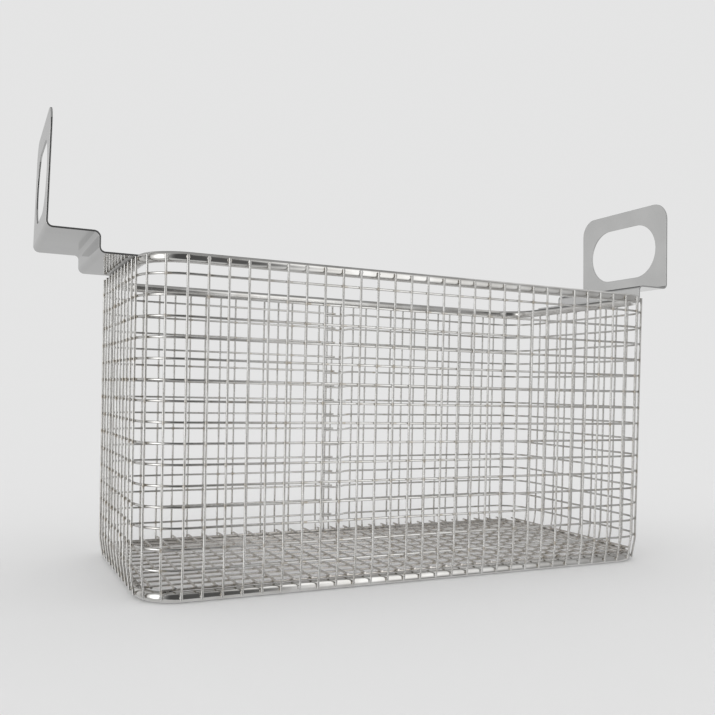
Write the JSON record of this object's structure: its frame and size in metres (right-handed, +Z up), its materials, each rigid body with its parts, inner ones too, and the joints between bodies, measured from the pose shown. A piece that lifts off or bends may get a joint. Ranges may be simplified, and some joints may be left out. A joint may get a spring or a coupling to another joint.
{
  "type": "ultrasonic cleaner basket",
  "caption": "Open-top rectangular wire mesh basket with rounded corners and two stepped sheet handles that hang it in an ultrasonic cleaning tank.",
  "frame": {"origin": "centre of the basket on the surface that its bottom rod stands on", "axes": "+X along the basket towards one handle, -Y the front wall, +Y the rear wall with the mesh seam, +Z up"},
  "size_m": [0.3166, 0.1154, 0.1885],
  "materials": {
    "wall_wire": "polished",
    "floor_wire": "polished",
    "polished_rod": "mirror polished",
    "satin_sheet": "satin"
  },
  "bodies": {
    "root": {"bottom_rim_rod": "polished_rod", "floor_cross_wires": "floor_wire", "floor_long_wires": "floor_wire", "front_left_corner_uprights": "wall_wire", "front_right_corner_uprights": "wall_wire", "front_wall_uprights": "wall_wire", "left_handle": "satin_sheet", "left_wall_uprights": "wall_wire", "rear_left_corner_uprights": "wall_wire", "rear_left_uprights": "wall_wire", "rear_right_corner_uprights": "wall_wire", "rear_right_uprights": "wall_wire", "right_handle": "satin_sheet", "right_wall_uprights": "wall_wire", "top_rim_rod": "polished_rod", "wall_hoop_01": "wall_wire", "wall_hoop_02": "wall_wire", "wall_hoop_03": "wall_wire", "wall_hoop_04": "wall_wire", "wall_hoop_05": "wall_wire", "wall_hoop_06": "wall_wire", "wall_hoop_07": "wall_wire", "wall_hoop_08": "wall_wire", "wall_hoop_09": "wall_wire", "wall_hoop_10": "wall_wire", "wall_hoop_11": "wall_wire", "wall_hoop_12": "wall_wire", "wall_hoop_13": "wall_wire", "wall_hoop_14": "wall_wire", "wall_hoop_15": "wall_wire"}
  },
  "joints": []
}
